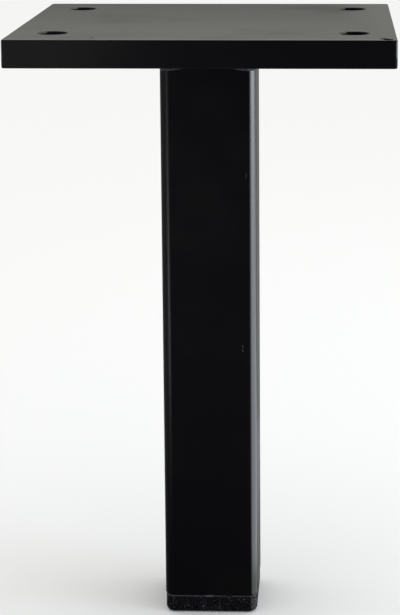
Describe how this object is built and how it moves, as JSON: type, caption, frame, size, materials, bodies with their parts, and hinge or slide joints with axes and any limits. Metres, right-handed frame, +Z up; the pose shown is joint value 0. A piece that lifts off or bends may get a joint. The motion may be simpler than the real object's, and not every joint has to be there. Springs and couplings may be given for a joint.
{
  "type": "furniture leg",
  "caption": "Square steel furniture leg with a drilled rectangular mounting plate welded on top and a moulded plastic end cap as its foot.",
  "frame": {"origin": "on the floor, under the middle of the leg", "axes": "+Z up along the leg, +X along the mounting plate's long side, +Y from the plate's front edge to its back"},
  "size_m": [0.096, 0.09, 0.16],
  "materials": {
    "plate_coat": "satin black coat",
    "tube_coat": "satin black coat",
    "weld_coat": "satin black coat over a rippled weld",
    "cap_plastic": "matt black, lightly pebbled"
  },
  "bodies": {
    "root": {"mounting_plate": "plate_coat", "leg_tube": "tube_coat", "weld_bead": "weld_coat", "end_cap": "cap_plastic"}
  },
  "joints": []
}
